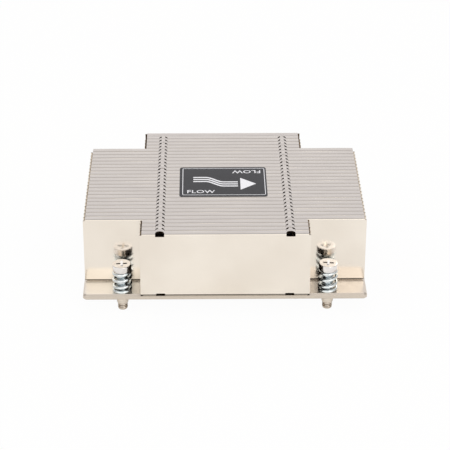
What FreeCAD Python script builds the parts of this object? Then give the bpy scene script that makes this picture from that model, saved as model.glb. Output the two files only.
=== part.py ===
import FreeCAD, Part
import math
import os

# Passive CPU heatsink for a low rack server.  A stack of folded sheet fins, locked to each
# other by tongues and openings, is soldered on a thin base plate.  Four spring-loaded
# captive screws stand in the corner notches of the stack.
# Frame: origin at the centre of the contact pad under the plate, +X along the fins (the way
# the air flows), +Y across the stack, +Z up and away from the processor.  Millimetres.

# --- driving dimensions -----------------------------------------------------------------

# captive screws, on the socket's square hole pattern; the plate and the stack follow them
SCREW_SPACING_X = 80.0
SCREW_SPACING_Y = 80.0
SCREW_TO_SIDE = 15.2           # from a screw's axis to the plate's side
SCREW_TO_END = 4.0             # from a screw's axis to the plate's front or rear edge

# base plate
PLATE_THICKNESS = 2.2
PLATE_CORNER_CHAMFER = 1.0     # upright corner edges
PLATE_TOP_CHAMFER = 0.7        # round the upper face
PLATE_BOTTOM_CHAMFER = 0.25    # round the lower face
PAD_LENGTH = 56.0              # contact pad under the plate, along X
PAD_WIDTH = 52.0               # along Y
PAD_RISE = 0.3                 # how far it stands out of the plate's lower face
PAD_CORNER = 2.0

# fins
FRONT_FIN_COUNT = 4            # short fins between the front notches
MIDDLE_FIN_COUNT = 21          # full-width fins
REAR_FIN_COUNT = 5             # short fins between the rear notches
STACK_OVERHANG = 1.0           # the stack stands out past the plate, front and rear
FIN_END_TO_SIDE = 0.3          # from a full-width fin's end to the plate's side
FIN_HEIGHT = 27.2
FIN_SHEET = 0.3
FIN_FOLD_RADIUS = 0.5          # outside of the two folds, which are sharp inside
FIN_TO_SCREW = 7.25            # from a short fin's end to the screw's axis
FIN_TO_FIN_GAP = 0.05          # between a flange's free edge and the next web
FLANGE_END_RELIEF = 0.8        # the flanges stop short of the web's ends
WEB_CORNER_DROP = 0.35         # the web's bare ends are this much lower than the flanges

# interlock, two rows on the top flanges and two on the bottom ones
LOCK_ROW_INSET = 7.75          # from a short fin's end to the middle of a row
LOCK_OPENING_WIDTH = 3.5
LOCK_OPENING_BAR = 0.35        # strip of flange left behind the opening
LOCK_OPENING_DOWN = 1.15       # how far it runs down the web
LOCK_OPENING_CORNER = 1.05     # its two rear corners are cut off by this along X
LOCK_OPENING_TAPER = 1.5       # and by this along Y
TONGUE_ROOT_WIDTH = 3.1
TONGUE_ROOT_REACH = 0.65       # the root keeps this width so far past the flange's edge
TONGUE_TAPER = 0.85            # and narrows to the tip's width over this
TONGUE_TIP_WIDTH = 1.25
TONGUE_TIP_GAP = 0.1           # the tip stops short of the opening's rear edge by this
TONGUE_DIP = 0.15              # the tip lies this much deeper than the flange

# turned screws
SCREW_HEAD_DIAMETER = 7.4
SCREW_HEAD_HEIGHT = 2.6
SCREW_HEAD_EDGE = 0.3
SCREW_SHANK_DIAMETER = 4.4
SCREW_THREAD_DIAMETER = 3.9
SCREW_THREAD_LENGTH = 3.0
SCREW_TIP_ROUND = 0.9          # height and width of the rounded end
RECESS_SPAN = 4.2              # cross recess, tip to tip
RECESS_ARM = 0.9
RECESS_DEPTH = 1.5
RECESS_TAPER = 0.9             # the arms' ends lean in by this over the depth

# springs
SPRING_OUTER_DIAMETER = 7.8
SPRING_WIRE = 1.15
SPRING_HEIGHT = 9.1            # between the plate and the screw head, as fitted
SPRING_CLOSED_BELOW = 0.9      # turns that lie coil on coil, at the plate
SPRING_ACTIVE_TURNS = 3.1
SPRING_CLOSED_ABOVE = 0.55     # and at the screw head
SPRING_GROUND = 0.3            # ground off the wire at each end
SPRING_WIRE_SIDES = 8          # the round wire is drawn with this many sides
SPRING_SECTIONS_PER_TURN = 12

# retaining collars, snapped into the screws' necks under the plate
COLLAR_HEIGHT = 3.0
COLLAR_TOP_DIAMETER = 5.2
COLLAR_BOTTOM_DIAMETER = 4.4
COLLAR_WALL_TO_NECK = 0.05     # running clearance, radial
COLLAR_END_PLAY = 0.05         # in the neck, each end
NECK_DIAMETER = 3.3

# fits
SCREW_HOLE_CLEARANCE = 0.3     # radial, round the shank
SEAT_GAP = 0.05                # between parts that rest on each other but move apart

# label on the fin tops
LABEL_LENGTH = 35.0
LABEL_WIDTH = 25.8
LABEL_THICKNESS = 0.15
LABEL_CORNER = 1.2
LABEL_CENTRE_X = -0.3
LABEL_CENTRE_Y = -1.1

# --- sizes worked out from them ---------------------------------------------------------

PLATE_WIDTH = SCREW_SPACING_X + 2 * SCREW_TO_SIDE
PLATE_DEPTH = SCREW_SPACING_Y + 2 * SCREW_TO_END
PLATE_BOTTOM = PAD_RISE        # the pad's face is at z = 0
PLATE_TOP = PLATE_BOTTOM + PLATE_THICKNESS
FIN_COUNT = FRONT_FIN_COUNT + MIDDLE_FIN_COUNT + REAR_FIN_COUNT
STACK_DEPTH = PLATE_DEPTH + 2 * STACK_OVERHANG
STACK_FRONT = -STACK_DEPTH / 2
FIN_PITCH = STACK_DEPTH / FIN_COUNT
FIN_WIDTH_LONG = PLATE_WIDTH - 2 * FIN_END_TO_SIDE
FIN_WIDTH_SHORT = SCREW_SPACING_X - 2 * FIN_TO_SCREW
FIN_BOTTOM = PLATE_TOP
FIN_TOP = FIN_BOTTOM + FIN_HEIGHT
FLANGE_REACH = FIN_PITCH - FIN_TO_FIN_GAP
LOCK_ROW_X = FIN_WIDTH_SHORT / 2 - LOCK_ROW_INSET
LOCK_OPENING_BACK = FLANGE_REACH - LOCK_OPENING_BAR
TONGUE_LENGTH = FIN_PITCH + LOCK_OPENING_BACK - TONGUE_TIP_GAP - FLANGE_REACH
SPRING_BOTTOM = PLATE_TOP
SPRING_TOP = SPRING_BOTTOM + SPRING_HEIGHT
HEAD_BOTTOM = SPRING_TOP + SEAT_GAP
HEAD_TOP = HEAD_BOTTOM + SCREW_HEAD_HEIGHT
COLLAR_TOP = PLATE_BOTTOM - SEAT_GAP
COLLAR_BOTTOM = COLLAR_TOP - COLLAR_HEIGHT
NECK_TOP = COLLAR_TOP + COLLAR_END_PLAY
NECK_BOTTOM = COLLAR_BOTTOM - COLLAR_END_PLAY
THREAD_END = NECK_BOTTOM - SCREW_THREAD_LENGTH
SCREW_HOLE_DIAMETER = SCREW_SHANK_DIAMETER + 2 * SCREW_HOLE_CLEARANCE
OVERSHOOT = 1.0                # how far cutting tools run past a face
TOLERANCE = 1e-6               # for picking edges

SCREW_PLACES = {
    "front_left": (-SCREW_SPACING_X / 2, -SCREW_SPACING_Y / 2),
    "front_right": (SCREW_SPACING_X / 2, -SCREW_SPACING_Y / 2),
    "rear_left": (-SCREW_SPACING_X / 2, SCREW_SPACING_Y / 2),
    "rear_right": (SCREW_SPACING_X / 2, SCREW_SPACING_Y / 2),
}


def vec(x, y, z):
    return FreeCAD.Vector(x, y, z)


def line(a, b):
    return Part.LineSegment(a, b).toShape()


def arc(a, middle, b):
    return Part.Arc(a, middle, b).toShape()


def on_circle(radius, angle):
    """Point on a circle about the Z axis, at height 0."""
    return vec(radius * math.cos(angle), radius * math.sin(angle), 0)


def polygon_face(points):
    return Part.Face(Part.makePolygon(points + [points[0]]))


def fold_middle(centre_y, centre_z, side):
    """Half-way point of a fold's quarter circle; side is +1 for the top fold."""
    reach = FIN_FOLD_RADIUS * math.cos(math.pi / 4)
    return vec(0, centre_y - reach, centre_z + side * reach)


# --- base plate -------------------------------------------------------------------------

def upright_edges(shape):
    """Edges that run straight up."""
    return [e for e in shape.Edges if e.BoundBox.XLength + e.BoundBox.YLength < TOLERANCE]


def contact_pad():
    """Low raised pad, lapped flat, that meets the processor's lid."""
    corner = vec(-PAD_LENGTH / 2, -PAD_WIDTH / 2, 0)
    pad = Part.makeBox(PAD_LENGTH, PAD_WIDTH, PAD_RISE, corner)
    return pad.makeFillet(PAD_CORNER, upright_edges(pad))


def base_plate():
    """Flat plate with cut corners, a broken upper edge, four holes and the contact pad."""
    corner = vec(-PLATE_WIDTH / 2, -PLATE_DEPTH / 2, PLATE_BOTTOM)
    plate = Part.makeBox(PLATE_WIDTH, PLATE_DEPTH, PLATE_THICKNESS, corner)
    plate = plate.makeChamfer(PLATE_CORNER_CHAMFER, upright_edges(plate))
    upper = [e for e in plate.Edges if e.BoundBox.ZMin > PLATE_TOP - TOLERANCE]
    plate = plate.makeChamfer(PLATE_TOP_CHAMFER, upper)
    lower = [e for e in plate.Edges if e.BoundBox.ZMax < PLATE_BOTTOM + TOLERANCE]
    plate = plate.makeChamfer(PLATE_BOTTOM_CHAMFER, lower)
    for x, y in SCREW_PLACES.values():
        start = vec(x, y, PLATE_BOTTOM - OVERSHOOT)
        depth = PLATE_THICKNESS + 2 * OVERSHOOT
        plate = plate.cut(Part.makeCylinder(SCREW_HOLE_DIAMETER / 2, depth, start))
    return plate.fuse(contact_pad()).removeSplitter()


# --- fins -------------------------------------------------------------------------------

def channel(width):
    """Folded channel: web with both flanges, its web's front face at y = 0."""
    radius = FIN_FOLD_RADIUS
    back = FLANGE_REACH
    low = FIN_BOTTOM
    high = FIN_TOP
    sheet = FIN_SHEET
    edges = [
        line(vec(0, back, low), vec(0, radius, low)),
        arc(vec(0, radius, low), fold_middle(radius, low + radius, -1), vec(0, 0, low + radius)),
        line(vec(0, 0, low + radius), vec(0, 0, high - radius)),
        arc(vec(0, 0, high - radius), fold_middle(radius, high - radius, 1), vec(0, radius, high)),
        line(vec(0, radius, high), vec(0, back, high)),
        line(vec(0, back, high), vec(0, back, high - sheet)),
        line(vec(0, back, high - sheet), vec(0, sheet, high - sheet)),
        line(vec(0, sheet, high - sheet), vec(0, sheet, low + sheet)),
        line(vec(0, sheet, low + sheet), vec(0, back, low + sheet)),
        line(vec(0, back, low + sheet), vec(0, back, low)),
    ]
    profile = Part.Face(Part.Wire(edges))
    length = width - 2 * FLANGE_END_RELIEF
    profile.translate(vec(-length / 2, 0, 0))
    return profile.extrude(vec(length, 0, 0))


def bare_web(width):
    """The web's full-width sheet, whose ends stand out past the flanges."""
    height = FIN_HEIGHT - 2 * WEB_CORNER_DROP
    return Part.makeBox(width, FIN_SHEET, height, vec(-width / 2, 0, FIN_BOTTOM + WEB_CORNER_DROP))


def lock_opening(x, side):
    """Cutting tool for a lock opening across a fold; side +1 top, -1 bottom."""
    half = LOCK_OPENING_WIDTH / 2
    rear_half = half - LOCK_OPENING_CORNER
    back = LOCK_OPENING_BACK
    base = FIN_TOP - LOCK_OPENING_DOWN if side > 0 else FIN_BOTTOM - OVERSHOOT
    plan = polygon_face([
        vec(x - half, -OVERSHOOT, base),
        vec(x + half, -OVERSHOOT, base),
        vec(x + half, back - LOCK_OPENING_TAPER, base),
        vec(x + rear_half, back, base),
        vec(x - rear_half, back, base),
        vec(x - half, back - LOCK_OPENING_TAPER, base),
    ])
    return plan.extrude(vec(0, 0, LOCK_OPENING_DOWN + OVERSHOOT))


def tongue_plan(x, low):
    """Outline of a tongue from above: a wide root that narrows to a parallel tip."""
    root = FLANGE_REACH
    shoulder = root + TONGUE_ROOT_REACH
    neck = shoulder + TONGUE_TAPER
    tip = root + TONGUE_LENGTH
    wide = TONGUE_ROOT_WIDTH / 2
    narrow = TONGUE_TIP_WIDTH / 2
    return polygon_face([
        vec(x - wide, root, low),
        vec(x + wide, root, low),
        vec(x + wide, shoulder, low),
        vec(x + narrow, neck, low),
        vec(x + narrow, tip, low),
        vec(x - narrow, tip, low),
        vec(x - narrow, neck, low),
        vec(x - wide, shoulder, low),
    ])


def tongue(x, side):
    """Tongue on a flange's free edge, dipping towards its tip; side +1 top, -1 bottom."""
    root = FLANGE_REACH
    tip = root + TONGUE_LENGTH
    face = FIN_TOP if side > 0 else FIN_BOTTOM
    inner = -side * FIN_SHEET
    dip = -side * TONGUE_DIP
    section = polygon_face([
        vec(x - TONGUE_ROOT_WIDTH, root, face),
        vec(x - TONGUE_ROOT_WIDTH, tip, face + dip),
        vec(x - TONGUE_ROOT_WIDTH, tip, face + dip + inner),
        vec(x - TONGUE_ROOT_WIDTH, root, face + inner),
    ])
    slab = section.extrude(vec(2 * TONGUE_ROOT_WIDTH, 0, 0))
    low = min(face, face + dip + inner) - OVERSHOOT
    height = abs(dip + inner) + 2 * OVERSHOOT
    return slab.common(tongue_plan(x, low).extrude(vec(0, 0, height)))


def fin(width, with_openings, with_tongues):
    """One folded fin, with or without its four lock openings and its four tongues."""
    body = channel(width).fuse(bare_web(width))
    for x in (-LOCK_ROW_X, LOCK_ROW_X):
        for side in (1, -1):
            if with_openings:
                body = body.cut(lock_opening(x, side))
            if with_tongues:
                body = body.fuse(tongue(x, side))
    return body.removeSplitter()


def fins():
    """All fins by node name, front to back; the last one is turned round to close the stack."""
    long_fin = fin(FIN_WIDTH_LONG, True, True)
    short_fin = fin(FIN_WIDTH_SHORT, True, True)
    last_locked = fin(FIN_WIDTH_SHORT, True, False)
    row = [short_fin] * FRONT_FIN_COUNT + [long_fin] * MIDDLE_FIN_COUNT
    row += [short_fin] * (REAR_FIN_COUNT - 2) + [last_locked]
    stack = {}
    for index, shape in enumerate(row):
        placed = shape.copy()
        placed.translate(vec(0, STACK_FRONT + index * FIN_PITCH, 0))
        stack["fin_%02d" % (index + 1)] = placed
    closing = fin(FIN_WIDTH_SHORT, False, False)
    closing.rotate(vec(0, 0, 0), vec(0, 0, 1), 180)
    closing.translate(vec(0, STACK_FRONT + STACK_DEPTH, 0))
    stack["fin_%02d" % FIN_COUNT] = closing
    return stack


# --- captive screws ---------------------------------------------------------------------

def recess_arm(angle):
    """Wedge-sided arm of the cross recess, turned about the screw's axis."""
    half = RECESS_SPAN / 2
    foot = half - RECESS_TAPER
    floor = HEAD_TOP - RECESS_DEPTH
    above = HEAD_TOP + OVERSHOOT
    slope = RECESS_TAPER * OVERSHOOT / RECESS_DEPTH
    side = polygon_face([
        vec(-half - slope, -RECESS_ARM / 2, above),
        vec(half + slope, -RECESS_ARM / 2, above),
        vec(foot, -RECESS_ARM / 2, floor),
        vec(-foot, -RECESS_ARM / 2, floor),
    ])
    arm = side.extrude(vec(0, RECESS_ARM, 0))
    arm.rotate(vec(0, 0, 0), vec(0, 0, 1), angle)
    return arm


def captive_screw():
    """Turned screw: pan head, plain shank, neck for the collar, thread with a round end."""
    head = SCREW_HEAD_DIAMETER / 2
    shank = SCREW_SHANK_DIAMETER / 2
    neck = NECK_DIAMETER / 2
    thread = SCREW_THREAD_DIAMETER / 2
    tip = thread - SCREW_TIP_ROUND
    bulge = SCREW_TIP_ROUND * math.sin(math.pi / 4)
    edges = [
        line(vec(0, 0, HEAD_TOP), vec(head - SCREW_HEAD_EDGE, 0, HEAD_TOP)),
        line(vec(head - SCREW_HEAD_EDGE, 0, HEAD_TOP), vec(head, 0, HEAD_TOP - SCREW_HEAD_EDGE)),
        line(vec(head, 0, HEAD_TOP - SCREW_HEAD_EDGE), vec(head, 0, HEAD_BOTTOM)),
        line(vec(head, 0, HEAD_BOTTOM), vec(shank, 0, HEAD_BOTTOM)),
        line(vec(shank, 0, HEAD_BOTTOM), vec(shank, 0, NECK_TOP)),
        line(vec(shank, 0, NECK_TOP), vec(neck, 0, NECK_TOP)),
        line(vec(neck, 0, NECK_TOP), vec(neck, 0, NECK_BOTTOM)),
        line(vec(neck, 0, NECK_BOTTOM), vec(thread, 0, NECK_BOTTOM)),
        line(vec(thread, 0, NECK_BOTTOM), vec(thread, 0, THREAD_END + SCREW_TIP_ROUND)),
        arc(vec(thread, 0, THREAD_END + SCREW_TIP_ROUND),
            vec(tip + bulge, 0, THREAD_END + SCREW_TIP_ROUND - bulge),
            vec(tip, 0, THREAD_END)),
        line(vec(tip, 0, THREAD_END), vec(0, 0, THREAD_END)),
        line(vec(0, 0, THREAD_END), vec(0, 0, HEAD_TOP)),
    ]
    turned = Part.Face(Part.Wire(edges)).revolve(vec(0, 0, 0), vec(0, 0, 1), 360)
    for angle in (0, 90):
        turned = turned.cut(recess_arm(angle))
    return turned


def retaining_collar():
    """Tapered ring in the screw's neck; its broad end stops against the plate."""
    bore = NECK_DIAMETER / 2 + COLLAR_WALL_TO_NECK
    outside = Part.makeCone(COLLAR_BOTTOM_DIAMETER / 2, COLLAR_TOP_DIAMETER / 2, COLLAR_HEIGHT,
                            vec(0, 0, COLLAR_BOTTOM))
    hole = Part.makeCylinder(bore, COLLAR_HEIGHT + 2 * OVERSHOOT, vec(0, 0, COLLAR_BOTTOM - OVERSHOOT))
    return outside.cut(hole)


def spring_line_height(turn):
    """Height of the wire's centre after so many turns: closed, open, closed again."""
    free_height = SPRING_HEIGHT + 2 * SPRING_GROUND - SPRING_WIRE
    closed_rise = (SPRING_CLOSED_BELOW + SPRING_CLOSED_ABOVE) * SPRING_WIRE
    active_pitch = (free_height - closed_rise) / SPRING_ACTIVE_TURNS
    start = SPRING_BOTTOM - SPRING_GROUND + SPRING_WIRE / 2
    first = min(turn, SPRING_CLOSED_BELOW)
    active = min(max(turn - SPRING_CLOSED_BELOW, 0), SPRING_ACTIVE_TURNS)
    last = max(turn - SPRING_CLOSED_BELOW - SPRING_ACTIVE_TURNS, 0)
    return start + (first + last) * SPRING_WIRE + active * active_pitch


def wire_section(angle, height, slope):
    """Many-sided outline of the wire, square to its run, at one place on the coil."""
    radius = (SPRING_OUTER_DIAMETER - SPRING_WIRE) / 2
    outward = on_circle(1, angle)
    run = vec(-outward.y * math.cos(slope), outward.x * math.cos(slope), math.sin(slope))
    across = outward.cross(run)
    centre = outward * radius + vec(0, 0, height)
    corners = []
    for side in range(SPRING_WIRE_SIDES):
        corner = on_circle(SPRING_WIRE / 2, 2 * math.pi * (side + 0.5) / SPRING_WIRE_SIDES)
        corners.append(centre + outward * corner.x + across * corner.y)
    return Part.makePolygon(corners + [corners[0]])


def screw_spring():
    """Compression spring with closed, ground ends, lofted through sections of its wire."""
    around = math.pi * (SPRING_OUTER_DIAMETER - SPRING_WIRE)
    turns = SPRING_CLOSED_BELOW + SPRING_ACTIVE_TURNS + SPRING_CLOSED_ABOVE
    steps = int(round(turns * SPRING_SECTIONS_PER_TURN))
    half_step = turns / steps / 2
    sections = []
    for step in range(steps + 1):
        turn = turns * step / steps
        rise = spring_line_height(turn + half_step) - spring_line_height(turn - half_step)
        slope = math.atan2(rise, around * 2 * half_step)
        sections.append(wire_section(2 * math.pi * turn, spring_line_height(turn), slope))
    wire = Part.makeLoft(sections, True, True)
    room = SPRING_OUTER_DIAMETER
    keep = Part.makeBox(2 * room, 2 * room, SPRING_HEIGHT, vec(-room, -room, SPRING_BOTTOM))
    return wire.common(keep)


# --- label ------------------------------------------------------------------------------

def label():
    """Thin printed label with round corners, stuck on the fin tops."""
    corner = vec(LABEL_CENTRE_X - LABEL_LENGTH / 2, LABEL_CENTRE_Y - LABEL_WIDTH / 2, FIN_TOP)
    sheet = Part.makeBox(LABEL_LENGTH, LABEL_WIDTH, LABEL_THICKNESS, corner)
    return sheet.makeFillet(LABEL_CORNER, upright_edges(sheet))


# --- whole part -------------------------------------------------------------------------

def all_nodes():
    nodes = {"base_plate": base_plate(), "airflow_label": label()}
    nodes.update(fins())
    kinds = {
        "captive_screw": captive_screw(),
        "screw_spring": screw_spring(),
        "retaining_collar": retaining_collar(),
    }
    for place, (x, y) in SCREW_PLACES.items():
        for kind, shape in kinds.items():
            placed = shape.copy()
            placed.translate(vec(x, y, 0))
            nodes[kind + "_" + place] = placed
    return nodes


os.makedirs("parts", exist_ok=True)
for node_name, node_shape in all_nodes().items():
    node_shape.exportStep("parts/" + node_name + ".step")
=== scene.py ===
# %% [markdown]
# # A passive heatsink for a low rack server
# The frame holds the CAD solids of the part: a base plate, thirty folded fins that hook into
# each other, four spring-loaded captive screws with their collars, and a label. Each of them
# could simply be given a material. The fins, screws and springs deserve more, because their
# edges, threads and coils are what the eye follows, so this lesson works them out again as
# surfaces and gives every piece the finish of its real metal or film.

# %% Load the frame
import math

import bmesh
import bpy
import numpy as np
from mathutils import Matrix, Vector


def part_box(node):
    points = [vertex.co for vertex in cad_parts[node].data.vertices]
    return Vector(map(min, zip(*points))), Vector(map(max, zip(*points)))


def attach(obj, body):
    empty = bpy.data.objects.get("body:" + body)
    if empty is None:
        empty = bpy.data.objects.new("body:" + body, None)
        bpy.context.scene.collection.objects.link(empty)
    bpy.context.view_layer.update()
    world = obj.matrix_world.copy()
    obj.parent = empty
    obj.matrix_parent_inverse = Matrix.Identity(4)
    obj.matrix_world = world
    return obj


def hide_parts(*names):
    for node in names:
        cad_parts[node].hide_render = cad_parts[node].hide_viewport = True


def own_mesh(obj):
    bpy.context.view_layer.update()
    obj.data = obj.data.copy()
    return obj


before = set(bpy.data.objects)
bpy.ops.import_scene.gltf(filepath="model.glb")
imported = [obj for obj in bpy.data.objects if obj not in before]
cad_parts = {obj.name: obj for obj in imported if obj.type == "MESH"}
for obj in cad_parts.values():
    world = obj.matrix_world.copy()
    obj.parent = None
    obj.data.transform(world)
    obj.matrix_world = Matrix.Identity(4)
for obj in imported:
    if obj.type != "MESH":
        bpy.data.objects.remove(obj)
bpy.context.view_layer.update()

# %% [markdown]
# ## Measures
# Every place comes from the boxes of the CAD nodes, so the pieces fit wherever the solids are.
# They could be typed in as numbers, but then a changed plate would leave its screws behind.
# The arrays are worked out in millimetres, which is how sheet metal is drawn, and turned into
# metres only when a mesh is made.

# %% Sizes read from the solids
MM = 0.001


def node_box(node):
    """Lowest and highest corner of a CAD node, in millimetres."""
    low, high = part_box(node)
    return np.array(low) / MM, np.array(high) / MM


FIN_NODES = sorted(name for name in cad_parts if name.startswith("fin_"))
PLACES = sorted(name[len("captive_screw_"):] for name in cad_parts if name.startswith("captive_screw_"))
FIN_BOTTOM, FIN_TOP = (corner[2] for corner in node_box(FIN_NODES[0]))
FIN_PITCH = node_box(FIN_NODES[1])[0][1] - node_box(FIN_NODES[0])[0][1]
PLATE_TOP = node_box("base_plate")[1][2]
TIP_Z, HEAD_TOP = (corner[2] for corner in node_box("captive_screw_" + PLACES[0]))
print("fins", len(FIN_NODES), "pitch %.2f mm, height %.2f mm" % (FIN_PITCH, FIN_TOP - FIN_BOTTOM))
print("screws", PLACES, "from %.2f to %.2f mm" % (TIP_Z, HEAD_TOP))

# %% [markdown]
# ## From arrays to meshes
# A surface here is a grid of points: one index runs round or along the piece, the other along
# its profile. Blender could build such shapes with its own tools, one click at a time. A grid
# keeps each shape down to one formula, and every point of it is worked out at once.

# %% Grid helpers


def grid_quads(count_i, count_j, closed_i=False, closed_j=False):
    """Corner numbers of a grid's quads, a row of four for each. Point (i, j) has number
    i * count_j + j, and a face looks towards di x dj. A closed way joins its last row to its first."""
    rows_i, rows_j = np.arange(count_i - (not closed_i)), np.arange(count_j - (not closed_j))
    i, j = np.meshgrid(rows_i, rows_j, indexing="ij")
    k, m = (i + 1) % count_i, (j + 1) % count_j
    corners = [i * count_j + j, k * count_j + j, k * count_j + m, i * count_j + m]
    return np.stack(corners, axis=-1).reshape(-1, 4)


def open_edges(faces):
    """The directed edges (a, b) that only one quad has: a sheet's outline and its holes' edges."""
    edges = np.concatenate([faces[:, [k, (k + 1) % 4]] for k in range(4)])
    size = faces.max() + 1
    forward = edges[:, 0] * size + edges[:, 1]
    backward = edges[:, 1] * size + edges[:, 0]
    return edges[~np.isin(forward, backward)]


def thicken(outer, inner, faces):
    """Closed sheet between two skins: the outer faces, the inner ones turned round, and a wall
    of quads from every open edge of one to the same edge of the other."""
    shift = len(outer)
    edges = open_edges(faces)
    wall = np.stack([edges[:, 1], edges[:, 0], edges[:, 0] + shift, edges[:, 1] + shift], axis=-1)
    return np.concatenate([outer, inner]), np.concatenate([faces, faces[:, ::-1] + shift, wall])


print("a 4 x 3 grid has", len(open_edges(grid_quads(4, 3))), "open edges")

# %% [markdown]
# ### Into Blender
# Every array ends in the same few steps: millimetres to metres, doubles merged, smooth faces
# with sharp edges kept, a material, and the body that the piece rides on. Doing them in one
# function means that no piece misses one.

# %% Mesh helpers


def merge_doubles(mesh, distance=1e-7):
    """Joins the points that lie on each other, such as a grid's row of points at a pole."""
    work = bmesh.new()
    work.from_mesh(mesh)
    bmesh.ops.remove_doubles(work, verts=work.verts, dist=distance)
    work.to_mesh(mesh)
    work.free()


def add_object(name, data):
    """Puts a mesh, lamp, camera or text into the scene as an object at the origin."""
    made = bpy.data.objects.new(name, data)
    bpy.context.scene.collection.objects.link(made)
    return made


def make_piece(name, points, faces, material, body, attributes=None, sharp_degrees=35):
    """Puts an array of points, in millimetres, and its faces into a mesh, smooth but for the
    edges sharper than the angle, and makes the object ride on its body. An attribute has a
    value for every point or for every face."""
    mesh = bpy.data.meshes.new(name)
    mesh.from_pydata((points * MM).tolist(), [], faces.tolist())
    for label, values in (attributes or {}).items():
        domain = "POINT" if len(values) == len(points) else "FACE"
        mesh.attributes.new(label, "FLOAT", domain).data.foreach_set("value", values.astype(np.float32))
    merge_doubles(mesh)
    mesh.polygons.foreach_set("use_smooth", [True] * len(mesh.polygons))
    mesh.set_sharp_from_angle(angle=math.radians(sharp_degrees))
    mesh.materials.append(material)
    piece = add_object(name, mesh)
    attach(piece, body)
    return piece


# %% [markdown]
# ## Materials
# Metals look like what they reflect, tinted by their own colour, so each material below is
# mostly a tint and a roughness. One function turns the colours, which are given as on a
# screen, into the linear numbers that light adds up in. One more adds a node. A finish is
# built up as it is in the workshop, one colour laid over another where it covers, and each
# pattern gets its scale from a real size in millimetres.

# %% Colour and node helpers
TEXTURE_DEPTH = 0.02 * MM  # grain and tool marks of every finish, drawn coarse enough to show


def linear(colour):
    """sRGB hex to linear: c / 12.92 below 0.04045, otherwise ((c + 0.055) / 1.055) to the 2.4."""
    c = np.array([int(colour[k:k + 2], 16) for k in (1, 3, 5)]) / 255
    c = np.where(c <= 0.04045, c / 12.92, ((c + 0.055) / 1.055) ** 2.4)
    return (*c.tolist(), 1.0)


def node(tree, kind, inputs=None, **settings):
    """Adds a shader node with its settings. Each input is given a value, another node's output,
    or another node, which stands for its first output."""
    made = tree.nodes.new("ShaderNode" + kind)
    for key, value in settings.items():
        setattr(made, key, value)
    for key, value in (inputs or {}).items():
        if isinstance(value, bpy.types.Node):
            value = value.outputs[0]
        if isinstance(value, bpy.types.NodeSocket):
            tree.links.new(value, made.inputs[key])
        else:
            made.inputs[key].default_value = value
    return made


def new_material(name):
    """A material whose node tree is empty; returns both."""
    material = bpy.data.materials.new(name)
    material.use_nodes = True
    material.node_tree.nodes.clear()
    return material, material.node_tree


def lumps(tree, size, detail=3.0, stretch=(1, 1, 1)):
    """Uneven lumps about size mm across, on the piece's own coordinates; stretch makes them
    that many times longer along x, y and z."""
    place = node(tree, "TexCoord").outputs["Object"]
    scale = [1 / (MM * size * k) for k in stretch]
    mapped = node(tree, "Mapping", {"Vector": place, "Scale": scale})
    return node(tree, "TexNoise", {"Vector": mapped, "Scale": 1.0, "Detail": detail})


def layered(tree, base, *layers):
    """Colours laid over one another. Each layer is where it covers, from 0 to 1, and its
    colour, which is hex or comes from another node. Returns the last output."""
    below = linear(base) if isinstance(base, str) else base
    for cover, colour in layers:
        above = linear(colour) if isinstance(colour, str) else colour
        below = node(tree, "Mix", {0: cover, 6: below, 7: above}, data_type="RGBA").outputs[2]
    return below


print("half grey on a screen is", round(linear("#808080")[0], 3), "of white's light")

# %% [markdown]
# ### Nickel plate
# The fins are thin sheet with bright nickel plate. It could be one mirror-like metal, but the
# real sheet has several looks. The webs are as rolled: smooth, ivory, with faint cloudy
# patches. The folded flanges are duller and greyer, with fine streaks along the fin. Sheared
# edges are dull and brown. The inner skin is painted a darker brown, which is painted shade
# deep in the narrow channels between the fins. Three attributes on the mesh, flange, inside and
# sheared, go from 0 to 1 where each of these is found. A thin dark brown line along the foot is
# painted shade in the crease where fin meets plate, which is a band of height instead.

# %% Fin material
FOOT_LINE_RISE = 0.55  # from the fin's foot to the line's middle, in mm
FOOT_LINE_HALF = 0.26


def height_band(tree, middle, half_width):
    """1 at a height in mm, falling to 0 at a half width above and below it."""
    place = node(tree, "TexCoord").outputs["Object"]
    height = node(tree, "SeparateXYZ", {0: place}).outputs["Z"]
    away = node(tree, "Math", {0: height, 1: middle * MM}, operation="SUBTRACT")
    away = node(tree, "Math", {0: away}, operation="ABSOLUTE")
    full, none = 0.4 * half_width * MM, half_width * MM
    return node(tree, "MapRange", {0: away, 1: full, 2: none, 3: 1.0, 4: 0.0})


nickel_fin, tree = new_material("bright_nickel_plate_on_sheet")
on_flange, inside, sheared = (node(tree, "Attribute", attribute_name=label).outputs["Fac"]
                              for label in ("flange", "inside", "sheared"))
cloud = node(tree, "MapRange", {0: lumps(tree, 26, 2.0), 1: 0.35, 2: 0.65})
streak = node(tree, "MapRange", {0: lumps(tree, 0.55, 3.0, (18, 1, 1)), 1: 0.3, 2: 0.7})
# painted shade: a dark band in the crease along the fin's foot, where it meets the plate
painted_foot_shade = height_band(tree, FIN_BOTTOM + FOOT_LINE_RISE, FOOT_LINE_HALF)
# the flanges are greyer, with streaks along the fin
flange_grey = layered(tree, "#DBD4CC", (streak, "#E4DED7"))
# the inner skin's darker brown is painted shade of the narrow channels between the fins
finish = layered(tree, "#FAF3E9", (cloud, "#F2EADF"), (on_flange, flange_grey), (inside, "#928270"),
                 (painted_foot_shade, "#2A1F13"), (sheared, "#6B5B4C"))
rough = node(tree, "MapRange", {0: on_flange, 3: 0.14, 4: 0.3})
rough = node(tree, "Math", {0: rough, 1: sheared}, operation="MAXIMUM")
rough = node(tree, "Math", {0: rough, 1: 0.55}, operation="MINIMUM")
bump = node(tree, "Bump", {"Height": streak, "Strength": 0.06, "Distance": TEXTURE_DEPTH})
shader = node(tree, "BsdfPrincipled", {
    "Base Color": finish, "Metallic": 1.0, "Roughness": rough, "Normal": bump})
node(tree, "OutputMaterial", {"Surface": shader})
print("fin material nodes", len(tree.nodes))
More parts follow.
